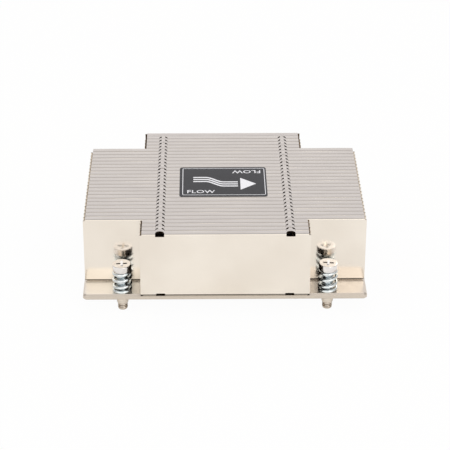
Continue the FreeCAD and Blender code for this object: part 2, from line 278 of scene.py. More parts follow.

# %% [markdown]
# ### Satin nickel on the plate
# The base plate is machined copper under the same nickel. Milling leaves it paler than rolled
# sheet, with fine speckle instead of streaks. It is greyer towards one side, +x. Below its top
# face it is painted greyer, as painted shade on its edges, and under the stack of fins it is
# painted dark brown, as painted shade under the fins. Both are found by the plate's own
# coordinates; the dark brown only shows through the openings at the fins' feet.

# %% Plate material
UNDER_FIN_SHADE_DEPTH = 0.55  # how far the painted shade under the fins reaches down the plate's edges, in mm
GREYING_SPAN = 45  # the greying towards +x fades in over this much to each side of the middle


def inside_range(tree, value, low, high):
    """1 where a coordinate lies between two values in mm, else 0."""
    above = node(tree, "Math", {0: value, 1: low * MM}, operation="GREATER_THAN")
    below = node(tree, "Math", {0: value, 1: high * MM}, operation="LESS_THAN")
    return node(tree, "Math", {0: above, 1: below}, operation="MULTIPLY")


nickel_plate, tree = new_material("satin_nickel_plate_on_copper")
place = node(tree, "TexCoord").outputs["Object"]
at = node(tree, "SeparateXYZ", {0: place}).outputs
shade_low = (*node_box(FIN_NODES[0])[0][:2], PLATE_TOP - UNDER_FIN_SHADE_DEPTH)
shade_high = (node_box(FIN_NODES[0])[1][0], node_box(FIN_NODES[-1])[1][1], PLATE_TOP + 1)
# painted shade under the stack of fins, a dark brown box
painted_shade_under_fins = 1.0
for axis, low, high in zip("XYZ", shade_low, shade_high):
    between = inside_range(tree, at[axis], low, high)
    painted_shade_under_fins = node(tree, "Math", {0: painted_shade_under_fins, 1: between}, operation="MULTIPLY")
cloud = node(tree, "MapRange", {0: lumps(tree, 14), 1: 0.35, 2: 0.65})
# painted shade on the plate's edges, everything below its top face
edge_low, edge_high = (PLATE_TOP - 0.08) * MM, (PLATE_TOP - 0.02) * MM
painted_edge_shade = node(tree, "MapRange", {0: at["Z"], 1: edge_low, 2: edge_high, 3: 1.0, 4: 0.0})
# the plate turns greyer towards +x
greyer_to_plus_x = node(tree, "MapRange", {0: at["X"], 1: -GREYING_SPAN * MM, 2: GREYING_SPAN * MM, 4: 0.9})
finish = layered(tree, "#FDF8F1", (cloud, "#F5EFE6"), (greyer_to_plus_x, "#E4DCD4"), (painted_edge_shade, "#DCD2C6"),
                 (painted_shade_under_fins, "#2E2419"))
speckle = lumps(tree, 0.5, 2.0)
rough = node(tree, "MapRange", {0: speckle, 1: 0.3, 2: 0.7, 3: 0.32, 4: 0.42})
bump = node(tree, "Bump", {"Height": speckle, "Strength": 0.1, "Distance": TEXTURE_DEPTH})
shader = node(tree, "BsdfPrincipled", {
    "Base Color": finish, "Metallic": 1.0, "Roughness": rough, "Normal": bump})
node(tree, "OutputMaterial", {"Surface": shader})
print("plate material nodes", len(tree.nodes))

# %% [markdown]
# ### Nickel on turned steel
# Screws and collars are turned on a lathe, which leaves rings too fine to see one by one. They
# show as a slight brushed look round the axis, so the lumps here are squashed along the axis.
# Shade is painted into the thread's grooves, dark brown; an attribute, groove, says where.
# Inside the spring the shank is painted blue-grey, as painted shade and reflection of the
# spring, and below the plate all is yellower.

# %% Screw and collar material
HEAD_HEIGHT = 2.6

nickel_turned, tree = new_material("nickel_plate_on_turned_steel")
place = node(tree, "TexCoord").outputs["Object"]
height = node(tree, "SeparateXYZ", {0: place}).outputs["Z"]
# painted shade and reflection of the spring on the shank inside it
painted_shank_shade = inside_range(tree, height, PLATE_TOP, HEAD_TOP - HEAD_HEIGHT - 0.02)
under_plate = node(tree, "MapRange", {0: height, 1: -0.2 * MM, 2: 0.3 * MM, 3: 1.0, 4: 0.0})
# the groove attribute carries painted shade into the thread's grooves
groove = node(tree, "Attribute", attribute_name="groove").outputs["Fac"]
cloud = node(tree, "MapRange", {0: lumps(tree, 2.5), 1: 0.35, 2: 0.65})
finish = layered(tree, "#F7F4F3", (cloud, "#EAE6E4"), (painted_shank_shade, "#DDE2E5"), (under_plate, "#EFE6DA"),
                 (groove, "#5E4A3C"))
rings = lumps(tree, 1.2, 2.0, (1, 1, 0.1))
rough = node(tree, "MapRange", {0: rings, 1: 0.3, 2: 0.7, 3: 0.14, 4: 0.22})
bump = node(tree, "Bump", {"Height": rings, "Strength": 0.15, "Distance": TEXTURE_DEPTH})
shader = node(tree, "BsdfPrincipled", {
    "Base Color": finish, "Metallic": 1.0, "Roughness": rough, "Normal": bump})
node(tree, "OutputMaterial", {"Surface": shader})
print("screw material nodes", len(tree.nodes))

# %% [markdown]
# ### Bright zinc on spring wire
# Zinc plate passivated clear has a cold, bluish shine, and it is the brightest metal here. It
# could share the screws' nickel, but then the coils would not stand out from their heads.

# %% Spring material
zinc_wire, tree = new_material("clear_zinc_plate_on_spring_wire")
drawn = lumps(tree, 0.8, 2.0)
cloud = node(tree, "MapRange", {0: drawn, 1: 0.35, 2: 0.65})
rough = node(tree, "MapRange", {0: drawn, 1: 0.3, 2: 0.7, 3: 0.06, 4: 0.12})
shader = node(tree, "BsdfPrincipled", {
    "Base Color": layered(tree, "#E4EDF0", (cloud, "#F4F8F9")), "Metallic": 1.0, "Roughness": rough})
node(tree, "OutputMaterial", {"Surface": shader})
print("spring material nodes", len(tree.nodes))

# %% [markdown]
# ### Printed film
# The label is a satin polyester film printed near-black, with the drawing left in the white
# of the film. One material with a picture of the drawing would do. Two plain ones keep the
# drawing's edges sharp. Ink under a clear coat reflects a little of everything, which is why
# the black reads as dark grey.

# %% Label materials
label_black, tree = new_material("satin_polyester_film_printed_black")
cloud = node(tree, "MapRange", {0: lumps(tree, 6), 1: 0.35, 2: 0.65})
grain = lumps(tree, 0.6, 2.0)
bump = node(tree, "Bump", {"Height": grain, "Strength": 0.08, "Distance": TEXTURE_DEPTH})
shader = node(tree, "BsdfPrincipled", {
    "Base Color": layered(tree, "#131318", (cloud, "#1B1B21")), "Roughness": 0.38, "Normal": bump})
node(tree, "OutputMaterial", {"Surface": shader})

label_white, tree = new_material("satin_polyester_film_bare_white")
shader = node(tree, "BsdfPrincipled", {
    "Base Color": layered(tree, "#FBFBFE", (lumps(tree, 0.8), "#F0F1F6")), "Roughness": 0.35})
node(tree, "OutputMaterial", {"Surface": shader})
print("materials", sorted(material.name for material in bpy.data.materials))

# %% [markdown]
# ## The fins
# Each fin is a strip of thin sheet folded into a channel that lies on its side: a bottom
# flange, an upright web and a top flange. Two openings are punched across each fold, and a
# tongue on the rear edge of the flange goes into the opening of the fin behind. That is how
# the stack zips together. The last fin is plain and turned round. A fin could be cut from a
# box with booleans. It is one grid instead: x runs along the fin, and the profile runs from
# the bottom tongue's tip, round both folds, to the top tongue's tip. The faces in the
# openings, and beside the tongues, are left out.

# %% Fin sizes, in millimetres
SHEET = 0.3
FOLD_RADIUS = 0.5  # outside of the fold
FLANGE_REACH = FIN_PITCH - 0.05
END_RELIEF = 0.8  # the flanges stop short of the web's ends
LOCK_ROWS = np.array([-25.0, 25.0])
OPENING_HALF = 1.75  # a slot whose rear end is half round
OPENING_BACK = 2.6
OPENING_DOWN = 1.15
TONGUE_ROOT_HALF = 1.64
TONGUE_TIP_HALF = 0.68
TONGUE_SHOULDER = 0.8  # it narrows from here
TONGUE_NECK = 1.7  # to here, by a hollow quarter round
TONGUE_LENGTH = 2.63
TONGUE_CORNER = 0.12  # the tip's corners are rounded off by this
TONGUE_ARCH = 0.08  # how far the tongue's middle rises
COLUMN_STEP = 6  # away from the locks the columns are about this far apart

# distance from the middle of a row to each column of points beside it
LOCK_COLUMNS = np.array([0, 0.4, 0.7, 1.0, 1.25, 1.45, TONGUE_ROOT_HALF, OPENING_HALF, 2.4, 3.5])
# distance of each row of a tongue's points behind the flange's edge
TONGUE_ROWS = [0, TONGUE_SHOULDER, 0.92, 1.08, 1.28, 1.48, TONGUE_NECK, 2.0, 2.3, TONGUE_LENGTH]
# how much the opening's lower edge rises at its corners, at these distances from its middle
CUT_CORNER_AT = [0, 1.45, TONGUE_ROOT_HALF, OPENING_HALF]
CUT_CORNER_RISE = [0, 0, 0.06, 0.18]
print("columns at a lock", 2 * len(LOCK_COLUMNS) - 1, "rows on a tongue", len(TONGUE_ROWS))

# %% [markdown]
# ### The grid's two ways
# Sheet that is flat needs few points, and a cut needs one on each side of its edge. So both
# ways of the grid are uneven: columns crowd at the lock rows, and rows at the folds.

# %% Columns and profile


def fin_columns(width):
    """The x of every column: the ends, the relieved ends, the lock rows, and evenly between."""
    half = width / 2
    near = np.concatenate([row + side * LOCK_COLUMNS for row in LOCK_ROWS for side in (-1, 1)])
    ends = np.array([-half, -half + END_RELIEF, half - END_RELIEF, half])
    even = np.linspace(-half + END_RELIEF, half - END_RELIEF, 1 + 2 * round(width / (2 * COLUMN_STEP)))
    row_distance = np.abs(even[:, None] - LOCK_ROWS).min(axis=1)
    between = even[row_distance > LOCK_COLUMNS[-1] + 1]
    return np.unique(np.round(np.concatenate([near, ends, between]), 6))


def half_profile(height):
    """The profile from the web's middle to the tongue's tip, a row of numbers per point: y back
    from the web, depth below the flange's face, the fold's angle, share of the way back to the
    opening's rear edge, place on the tongue. On the fold y = r - r cos a, depth = r - r sin a."""
    r = FOLD_RADIUS
    web = [(0, height * k, 0, 0, 0) for k in (0.5, 0.4, 0.3, 0.2, 0.1)]
    cut = [(0, OPENING_DOWN, 0, 0, 0), (0, r, 0, 0, 0)]
    fold = [(r - r * math.cos(a), r - r * math.sin(a), a, 0, 0) for a in np.radians([15, 30, 45, 60, 75])]
    flange = [(r, 0, math.pi / 2, k, 0) for k in (0, 1 / 3, 2 / 3, 1)]
    edge = [(FLANGE_REACH, 0, math.pi / 2, 0, b) for b in TONGUE_ROWS]
    return np.array(web + cut + fold + flange + edge).T


CUT_ROW, FOLD_ROW, BACK_ROW, EDGE_ROW = 5, 6, 15, 16  # places in that list
print("columns of a long fin", len(fin_columns(110)), "rows", 2 * half_profile(1.0).shape[1] - 1)

# %% [markdown]
# ### Openings, tongues and uneven sheet
# The cuts are formulas too: they move the grid's rows and columns onto the curve of each edge.
# Pressed sheet is never quite flat, and a perfect stack would look drawn with a ruler. So slow
# waves bow the webs, let the flanges sag and cut their edges a little short.

# %% Outlines, waves and skins
# how much, and how long the wave is along the fin
WEB_BOW, BOW_LENGTH = 0.05, 60
FLANGE_SAG, SAG_LENGTH = 0.1, 35
TRIM, TRIM_LENGTH = 0.17, 40
TRIM_EVEN = 0.1  # and at most this much shorter all along


def opening_back(offset):
    """How far back the opening runs, by the distance from its middle: a half circle. Beyond the
    opening it only says where the row of points lies."""
    start = OPENING_BACK - OPENING_HALF
    inside = start + np.sqrt(np.clip(OPENING_HALF ** 2 - offset ** 2, 0, None))
    beyond = np.clip(start + offset - OPENING_HALF, None, OPENING_BACK)
    return np.where(offset < OPENING_HALF, inside, beyond)


def tongue_half(b):
    """Half width of the tongue at b behind the flange's edge: wide, a hollow quarter round of
    half width = root - sqrt(r^2 - (neck - b)^2), then narrow."""
    hollow = (TONGUE_NECK - TONGUE_SHOULDER) ** 2 - (TONGUE_NECK - b) ** 2
    half = TONGUE_ROOT_HALF - np.sqrt(np.clip(hollow, 0, None))
    return np.where(b > TONGUE_NECK, TONGUE_TIP_HALF, half)


def wave(rng, x, length):
    """Slow random wave along x, from 0 to 1: three sines with random phases."""
    phases = rng.uniform(0, 2 * math.pi, 3)
    total = sum(np.sin(2 * math.pi * x * k / length + p) / k for k, p in zip((1, 2.3, 3.7), phases))
    return np.clip(0.5 + total / 3.4, 0, 1)[:, None]


def half_skins(x, front, side, with_tongues, rng):
    """Outer and inner skin of the fin's upper (side 1) or lower (side -1) half, each an array
    (column, row, xyz). The inner skin lies one sheet thickness in, along the profile's normal."""
    y, depth, angle, share, tongue = half_profile(FIN_TOP - FIN_BOTTOM)
    nearest = LOCK_ROWS[np.abs(x[:, None] - LOCK_ROWS).argmin(axis=1)][:, None]
    away = x[:, None] - nearest
    offset = np.abs(away)
    squeezed = nearest + away * tongue_half(tongue) / TONGUE_ROOT_HALF
    wide = np.where(tongue > 0, squeezed, x[:, None])
    corner = (tongue >= TONGUE_LENGTH) * np.minimum(offset / TONGUE_ROOT_HALF, 1) ** 6
    back = y + share * (opening_back(offset) - FOLD_RADIUS) + tongue - TONGUE_CORNER * corner
    arch = TONGUE_ARCH * (side > 0) * np.sin(math.pi * tongue / TONGUE_LENGTH)
    cut_corner = (np.arange(len(y)) == CUT_ROW) * np.interp(offset, CUT_CORNER_AT, CUT_CORNER_RISE)
    deep = depth - arch - cut_corner
    bow = WEB_BOW * wave(rng, x, BOW_LENGTH) * np.clip(deep / depth[0], 0, 1)
    sag = FLANGE_SAG * wave(rng, x, SAG_LENGTH) * np.clip((back - FOLD_RADIUS) / FLANGE_REACH, 0, 1)
    short = rng.uniform(0, TRIM_EVEN) + TRIM * wave(rng, x, TRIM_LENGTH)
    short = short * (y > OPENING_BACK) * (tongue == 0) * with_tongues
    skins = []
    for inset in (0, SHEET):
        at_y = front + back + bow - short + inset * np.cos(angle)
        at_depth = deep + sag + inset * np.sin(angle)
        at_z = FIN_TOP - at_depth if side > 0 else FIN_BOTTOM + at_depth
        skins.append(np.stack([wide, at_y, at_z], axis=-1))
    return skins


print("the tongue is %.2f to %.2f mm wide" % (2 * tongue_half(0.0), 2 * tongue_half(TONGUE_LENGTH)))

# %% [markdown]
# ### Closing the sheet
# The two skins are joined by narrow walls wherever a face was left out, so every cut has the
# sheet's real thickness. Those walls are the sheared edges. The same numbers that place the
# points say where the finish changes, on the flanges and on the walls, and where painted shade
# darkens the inner skin.

# %% Fins
FINISH_TURNS = (0.7, 1.3)  # over this much of the fold's angle, in radians


def fin_faces(x, row_count, with_openings, with_tongues):
    """The grid's faces without those in the openings, beside the tongues and past the relief."""
    half_rows = (row_count + 1) // 2
    interval = np.arange(row_count - 1)
    step = np.where(interval >= half_rows - 1, interval - half_rows + 1, half_rows - 2 - interval)[None, :]
    centre = (x[1:] + x[:-1])[:, None] / 2
    offset = np.abs(centre - LOCK_ROWS).min(axis=1)[:, None]
    in_opening = (offset < OPENING_HALF) & (step >= CUT_ROW) & (step < BACK_ROW) & with_openings
    no_tongue = (step >= EDGE_ROW) & ((offset > TONGUE_ROOT_HALF) | (not with_tongues))
    past_relief = (np.abs(centre) > x[-1] - END_RELIEF) & (step >= FOLD_ROW)
    keep = ~(in_opening | no_tongue | past_relief)
    return grid_quads(len(x), row_count)[keep.reshape(-1)]


def folded_fin(width, front, with_openings, with_tongues, rng):
    """Points, faces and attributes of one fin, as a closed sheet of even thickness."""
    x = fin_columns(width)
    lower = half_skins(x, front, -1, with_tongues, rng)
    upper = half_skins(x, front, 1, with_tongues, rng)
    outer, inner = (np.concatenate([low[:, :0:-1], high], axis=1) for low, high in zip(lower, upper))
    # the halves' waves differ, so the row where they meet is set between its neighbours
    middle = outer.shape[1] // 2
    outer[:, middle, 1] = (outer[:, middle - 1, 1] + outer[:, middle + 1, 1]) / 2
    inner[:, middle, 1] = outer[:, middle, 1] + SHEET
    angle = half_profile(1.0)[2]
    flange_share = np.interp(np.concatenate([angle[:0:-1], angle]), FINISH_TURNS, (0, 1))
    faces = fin_faces(x, outer.shape[1], with_openings, with_tongues)
    used, numbers = np.unique(faces, return_inverse=True)
    faces = numbers.reshape(faces.shape)
    on_flange = np.tile(flange_share, (len(x), 1)).reshape(-1)[used]
    skin_faces = 2 * len(faces)
    points, faces = thicken(outer.reshape(-1, 3)[used], inner.reshape(-1, 3)[used], faces)
    attributes = {
        "flange": np.concatenate([on_flange, on_flange]),
        "inside": np.repeat([0.0, 1.0], len(used)),
        "sheared": (np.arange(len(faces)) >= skin_faces).astype(float),
    }
    return points, faces, attributes


for number, name in enumerate(FIN_NODES):
    low, high = node_box(name)
    rng = np.random.default_rng(100 + number)
    last = number == len(FIN_NODES) - 1
    has_tongues = number < len(FIN_NODES) - 2
    points, faces, attributes = folded_fin(high[0] - low[0], low[1], not last, has_tongues, rng)
    if last:  # it is turned round, and closes the stack with its web
        points[:, 1] = low[1] + high[1] - points[:, 1]
        faces = faces[:, ::-1]
    else:  # behind a long fin, shade is painted on the inner skin only where the next fin covers it
        cover = node_box(FIN_NODES[number + 1])[1][0]
        attributes["inside"] *= np.abs(points[:, 0]) < cover
    piece = make_piece(name + "_sheet", points, faces, nickel_fin, "root", attributes)
    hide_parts(name)
print("fins", len(FIN_NODES), "faces in the last", len(faces))

# %% [markdown]
# ## The base plate
# The plate is a plain milled slab with chamfered edges and four holes. The CAD solid already
# has that form, so it stays, and only its finish changes.

# %% Plate finish
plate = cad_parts["base_plate"]
plate.data.materials.clear()
plate.data.materials.append(nickel_plate)
print("plate top at %.2f mm" % PLATE_TOP)

# %% [markdown]
# ## Turned parts
# Screw and collar come off a lathe, so each is a profile carried round the Z axis. Blender's
# Spin or Screw modifier would turn a profile too. Here the angle is one way of the grid and the
# profile the other, which lets the thread be a ripple in the radius that climbs with the angle.

# %% Turning


def turned(profile, angles):
    """Points (angle, row, xyz) of a profile of (radius, height) rows: (r cos a, r sin a, z)."""
    r, z = profile.T
    a = angles[:, None]
    return np.stack([r * np.cos(a), r * np.sin(a), z + 0 * a], axis=-1)


def rounded(corner_r, corner_z, radius, start, end, steps=4):
    """Quarter-round corner of a profile: points at angles start to end, in degrees, about a
    centre that lies at (corner_r, corner_z)."""
    a = np.radians(np.linspace(start, end, steps))
    return np.stack([corner_r + radius * np.cos(a), corner_z + radius * np.sin(a)], axis=-1)


def move_to(points, name):
    """Shifts points about the Z axis to the middle of a CAD node, seen from above."""
    low, high = node_box(name)
    points[:, :2] += (low + high)[:2] / 2
    return points


print("a quarter round of 4 points ends at", rounded(0, 0, 1.0, 0, 90)[-1].round(3))

# %% [markdown]
# ### Captive screw
# The head's top has a cross recess, and a cross doesn't fit on a grid that runs round an axis.
# So the middle of the top is a square grid with lines just inside and outside the cross's
# walls, where the height is a formula, and a ring of quads leads from the square to the round
# edge.

# %% Screw sizes, in millimetres
HEAD_RADIUS = 3.7
HEAD_EDGE = 0.3  # rounding of the head's upper edge
HEAD_FOOT = 0.12  # and of its lower one
HEAD_BOTTOM = HEAD_TOP - HEAD_HEIGHT
SHANK_RADIUS = 2.2
NECK_RADIUS = 1.65
NECK_TOP, NECK_BOTTOM = 0.3, -2.8
THREAD_RADIUS = 1.95
THREAD_PITCH = 0.7
THREAD_DEPTH = 0.3
THREAD_ROWS = 34
TIP_ROUND = 0.9
RECESS_HALF = 2.1
RECESS_ARM_HALF = 0.45
RECESS_DEPTH = 1.5
RECESS_TAPER = 0.9
# the square grid's lines on one side of the middle, two of them just beside the arms' walls
RECESS_LINES = [0.2, RECESS_ARM_HALF - 0.02, RECESS_ARM_HALF + 0.02, 0.8, 1.2, 1.65, RECESS_HALF, 2.3]
print("head from %.2f to %.2f mm" % (HEAD_BOTTOM, HEAD_TOP))

# %% Screw


def recess_depth(x, y):
    """Depth of the cross: in each arm the floor is flat, and slopes up to the arm's end."""
    def arm(along, across):
        slope = (RECESS_HALF - np.abs(along)) * RECESS_DEPTH / RECESS_TAPER
        return np.where(np.abs(across) < RECESS_ARM_HALF, np.clip(slope, 0, RECESS_DEPTH), 0)
    return np.maximum(arm(x, y), arm(y, x))


def screw_profile():
    """Profile (radius, height) from the tip's middle up to the head's upper edge: a rounded
    end, the thread's rows, neck, shank, and the head with its two rounded edges."""
    tip = rounded(THREAD_RADIUS - TIP_ROUND, TIP_Z + TIP_ROUND, TIP_ROUND, -90, 0, 7)[:-1]
    thread_z = np.linspace(TIP_Z + TIP_ROUND, NECK_BOTTOM - 0.15, THREAD_ROWS)
    thread = np.stack([0 * thread_z + THREAD_RADIUS, thread_z], axis=-1)
    upper = [(NECK_RADIUS, NECK_BOTTOM), (NECK_RADIUS, NECK_TOP), (SHANK_RADIUS, NECK_TOP),
             (SHANK_RADIUS, HEAD_BOTTOM)]
    foot = rounded(HEAD_RADIUS - HEAD_FOOT, HEAD_BOTTOM + HEAD_FOOT, HEAD_FOOT, -90, 0, 3)
    edge = rounded(HEAD_RADIUS - HEAD_EDGE, HEAD_TOP - HEAD_EDGE, HEAD_EDGE, 0, 90, 5)
    return np.concatenate([[(0, TIP_Z)], tip, thread, upper, foot, edge])


def thread_groove(z, angles):
    """How deep in the thread's groove a point is, from 0 to 1: a triangle wave of height less
    angle, |2 t - 1|, which fades in above the tip and out below the neck."""
    turn = (z / THREAD_PITCH - angles[:, None] / (2 * math.pi)) % 1
    fade_z = [TIP_Z + 0.3, TIP_Z + 1.1, NECK_BOTTOM - 0.5, NECK_BOTTOM - 0.2]
    fade = np.interp(z, fade_z, [0, 1, 1, 0.4]) * (z < NECK_BOTTOM - 0.1)
    return fade * np.abs(2 * turn - 1)


def captive_screw():
    """One closed surface: turned profile from the tip up to the head's edge, ring, square."""
    lines = np.array([-v for v in reversed(RECESS_LINES)] + [0] + RECESS_LINES)
    count = 4 * (len(lines) - 1)
    angles = np.radians(-135 + 360 * np.arange(count) / count)
    side = turned(screw_profile(), angles)
    groove = thread_groove(side[..., 2], angles)
    side[..., :2] *= (1 - THREAD_DEPTH / THREAD_RADIUS * groove)[..., None]
    # the square's outline, a point for each angle, and the ring that leads in to it
    sides = [np.stack([lines[:-1], lines[0] + 0 * lines[:-1]], -1)]
    for _ in range(3):      # each side is the one before after a quarter turn
        sides.append(np.stack([-sides[-1][:, 1], sides[-1][:, 0]], -1))
    square = np.concatenate(sides)
    rim = side[:, -1, :2]
    level = np.full((count, 1), HEAD_TOP)
    ring = [np.concatenate([rim + t * (square - rim), level], 1) for t in (0.35, 0.7, 1)]
    side = np.concatenate([side, np.stack(ring, axis=1)], axis=1)
    x, y = np.meshgrid(lines, lines, indexing="ij")
    patch = np.stack([x, y, HEAD_TOP - recess_depth(x, y)], axis=-1)
    side_count = side.shape[0] * side.shape[1]
    faces = grid_quads(count, side.shape[1], closed_i=True)
    patch_faces = grid_quads(len(lines), len(lines)) + side_count
    grooves = np.zeros(side_count + x.size)
    grooves[:side_count].reshape(side.shape[:2])[:, :groove.shape[1]] = groove
    points = np.concatenate([side.reshape(-1, 3), patch.reshape(-1, 3)])
    return points, np.concatenate([faces, patch_faces]), {"groove": grooves}


SCREW_TURNS = dict(zip(PLACES, (4, -9, 31, 58)))  # how each cross happens to stand, in degrees
for place in PLACES:
    points, faces, attributes = captive_screw()
    points = points @ np.array(Matrix.Rotation(math.radians(SCREW_TURNS[place]), 3, "Z")).T
    piece = make_piece("captive_screw_turned_" + place, move_to(points, "captive_screw_" + place), faces,
                       nickel_turned, "screw_" + place, attributes)
    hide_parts("captive_screw_" + place)
print("screws made, faces each", len(faces))

# %% [markdown]
# ### Retaining collar
# The collar snaps into the screw's neck from below and keeps it from falling out of the plate.
# It is a tapered ring with soft edges, so its profile is closed: up the outside, down the bore.

# %% Collar
COLLAR_WIDE, COLLAR_NARROW, COLLAR_BORE = 2.6, 2.2, 1.7  # radii at the top, below and inside
COLLAR_WAIST, WAIST_SHARE = 2.45, 0.6  # the taper starts this far up
COLLAR_SOFT, COLLAR_CRISP = 0.25, 0.08  # rounding of the lower and upper edge
COLLAR_COLUMNS = 48


def collar():
    """Closed profile of two rounded outer corners and the bore, turned round the axis."""
    bottom, top = (corner[2] for corner in node_box("retaining_collar_" + PLACES[0]))
    profile = np.concatenate([
        [(COLLAR_BORE, bottom)],
        rounded(COLLAR_NARROW - COLLAR_SOFT, bottom + COLLAR_SOFT, COLLAR_SOFT, -90, 0, 5),
        [(COLLAR_WAIST, (1 - WAIST_SHARE) * bottom + WAIST_SHARE * top)],
        rounded(COLLAR_WIDE - COLLAR_CRISP, top - COLLAR_CRISP, COLLAR_CRISP, 0, 90, 3),
        [(COLLAR_BORE, top)],
    ])
    points = turned(profile, 2 * math.pi * np.arange(COLLAR_COLUMNS) / COLLAR_COLUMNS)
    faces = grid_quads(COLLAR_COLUMNS, len(profile), closed_i=True, closed_j=True)
    return points.reshape(-1, 3), faces


for place in PLACES:
    points, faces = collar()
    piece = make_piece("retaining_collar_turned_" + place, move_to(points, "retaining_collar_" + place),
                       faces, nickel_turned, "collar_" + place)
    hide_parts("retaining_collar_" + place)
print("collars made, faces each", len(faces))

# %% [markdown]
# ## Springs
# A compression spring is a wire wound in a helix whose pitch is closed at the ends and open in
# between, with both ends ground flat. A curve with a bevel could draw it. As a grid, the wire's
# circle is carried along the helix, and the grinding is one line: heights stop at the two flats.

# %% Spring
WIRE = 1.15
WIRE_SIDES = 14
SPRING_RADIUS = (7.8 - WIRE) / 2
SPRING_TOP = HEAD_BOTTOM - 0.05
CLOSED_BELOW, ACTIVE_TURNS, CLOSED_ABOVE = 0.9, 2.4, 0.55
SPRING_SECTIONS = 150
PITCH_BLEND = 13  # sections over which the pitch changes from closed to open
GROUND = 0.3


def spring(start_degrees):
    """Wire points (along, round, xyz): centre line (R cos p, R sin p, h), and round it the
    circle w (cos q e + sin q b), with e pointing outwards and b across both wire and e."""
    turn = np.linspace(0, CLOSED_BELOW + ACTIVE_TURNS + CLOSED_ABOVE, SPRING_SECTIONS)
    climb = SPRING_TOP - PLATE_TOP + 2 * GROUND - WIRE
    start = PLATE_TOP - GROUND + WIRE / 2
    knots = [0, CLOSED_BELOW, CLOSED_BELOW + ACTIVE_TURNS, turn[-1]]
    rises = [0, CLOSED_BELOW * WIRE, climb - CLOSED_ABOVE * WIRE, climb]
    rise = np.pad(start + np.interp(turn, knots, rises), PITCH_BLEND // 2, mode="reflect", reflect_type="odd")
    rise = np.convolve(rise, np.ones(PITCH_BLEND) / PITCH_BLEND, "valid")
    p = 2 * math.pi * turn + math.radians(start_degrees)
    centre = np.stack([SPRING_RADIUS * np.cos(p), SPRING_RADIUS * np.sin(p), rise], -1)
    tangent = np.gradient(centre, axis=0)
    tangent /= np.linalg.norm(tangent, axis=1, keepdims=True)
    outward = np.stack([np.cos(p), np.sin(p), 0 * p], -1)
    across = np.cross(outward, tangent)
    q = 2 * math.pi * np.arange(WIRE_SIDES) / WIRE_SIDES
    circle = np.cos(q)[None, :, None] * outward[:, None] + np.sin(q)[None, :, None] * across[:, None]
    # the wire's ends are closed by a ring that shrinks to the centre line
    first, final = (np.repeat(end[:, None], WIRE_SIDES, 1) for end in (centre[:1], centre[-1:]))
    wire = np.concatenate([first, centre[:, None] + WIRE / 2 * circle, final])
    wire[..., 2] = np.clip(wire[..., 2], PLATE_TOP, SPRING_TOP)
    return wire.reshape(-1, 3), grid_quads(len(wire), WIRE_SIDES, closed_j=True)


SPRING_STARTS = dict(zip(PLACES, (126, 126, 342, 262)))  # where each wire's lower end stands, in degrees
for place in PLACES:
    low, high = node_box("captive_screw_" + place)
    centre = (low + high)[:2] / 2
    points, faces = spring(SPRING_STARTS[place])
    points[:, :2] += centre
    piece = make_piece("screw_spring_wound_" + place, points, faces, zinc_wire, "root",
                       sharp_degrees=50)
    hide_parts("screw_spring_" + place)
    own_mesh(piece)

# %% [markdown]
# ## The label
# The label is film cut with round corners, and its drawing says which way the air flows. The
# drawing could be painted by a material. It is made as very thin pieces that lie on the film,
# so that its edges stay sharp from any distance: a border, three lines that curve like moving
# air, an arrowhead, and one plain word printed twice, so that it can be read from either side.

# %% Label outline and film
LABEL_LOW, LABEL_HIGH = node_box("airflow_label")
LABEL_MIDDLE = (LABEL_LOW + LABEL_HIGH) / 2
INK_RISE = 0.02
FILM_TOP = LABEL_HIGH[2] - INK_RISE
FILM_CORNER = 1.2
FILM_SOFT = 0.05  # the film's upper edge is rounded off by this much
CORNER_STEPS = 7
OUTLINE_POINTS = 4 * CORNER_STEPS


def round_rectangle(inset, corner):
    """Outline (point, xy) of the label moved in by an inset: four quarter circles, joined."""
    half = (LABEL_HIGH - LABEL_LOW)[:2] / 2 - inset
    quarter = np.radians(np.linspace(0, 90, CORNER_STEPS))
    a = np.concatenate([quarter + k * math.pi / 2 for k in range(4)])
    sign = np.repeat([(1, 1), (-1, 1), (-1, -1), (1, -1)], CORNER_STEPS, axis=0)
    return LABEL_MIDDLE[:2] + sign * (half - corner) + corner * np.stack([np.cos(a), np.sin(a)], -1)


middle = np.repeat(LABEL_MIDDLE[None, :2], OUTLINE_POINTS, axis=0)
edge = round_rectangle(0, FILM_CORNER)
outlines = [middle, edge, edge, round_rectangle(FILM_SOFT, FILM_CORNER - FILM_SOFT), middle]
heights = [LABEL_LOW[2], LABEL_LOW[2], FILM_TOP - FILM_SOFT, FILM_TOP, FILM_TOP]
levels = [np.concatenate([o, np.full((len(o), 1), z)], 1) for o, z in zip(outlines, heights)]
points = np.stack(levels, axis=1).reshape(-1, 3)
faces = grid_quads(OUTLINE_POINTS, len(levels), closed_i=True)
piece = make_piece("airflow_label_film", points, faces, label_black, "root")
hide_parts("airflow_label")
print("film thickness %.2f mm" % (FILM_TOP - LABEL_LOW[2]))

# %% [markdown]
# ### Border, lines and arrowhead
# Each is a flat outline with its upper face and a low wall round it. The lines follow a path
# that is level, then slips sideways along a smooth step, then is level again.

# %% Sizes of the print, in millimetres
BORDER_INSET = np.array((0.9, 1.1))
BORDER_SHIFT = (0.25, 0.1)  # it is printed a little off the middle
BORDER_LINE = 0.27
BORDER_CORNERS = (0.8, 0.5)  # outside and inside of its line
LINE_START, LINE_END = -12.3, 5.6  # the three lines run between these, along x
LINE_WIDTH, LINE_SPACING = 0.85, 1.8
LINE_Y = 0.81  # where the middle one starts
BEND_START, BEND_LENGTH, BEND_DROP = -7.3, 7.2, 4.04
LINE_POINTS = 49
ARROW_BACK, ARROW_TIP = 6.6, 12.9
ARROW_Y, ARROW_HALF = -3.07, 5.2
print("the middle line ends at y = %.2f, the arrow's tip at %.2f" % (LINE_Y - BEND_DROP, ARROW_Y))

# %% Printed shapes


def raised(flat, faces):
    """Gives flat points (..., xy) the ink's thickness: top, bottom and a wall between."""
    flat = flat.reshape(-1, 2)
    top = np.concatenate([flat, np.full((len(flat), 1), LABEL_HIGH[2])], 1)
    return thicken(top, top - (0, 0, INK_RISE), faces)


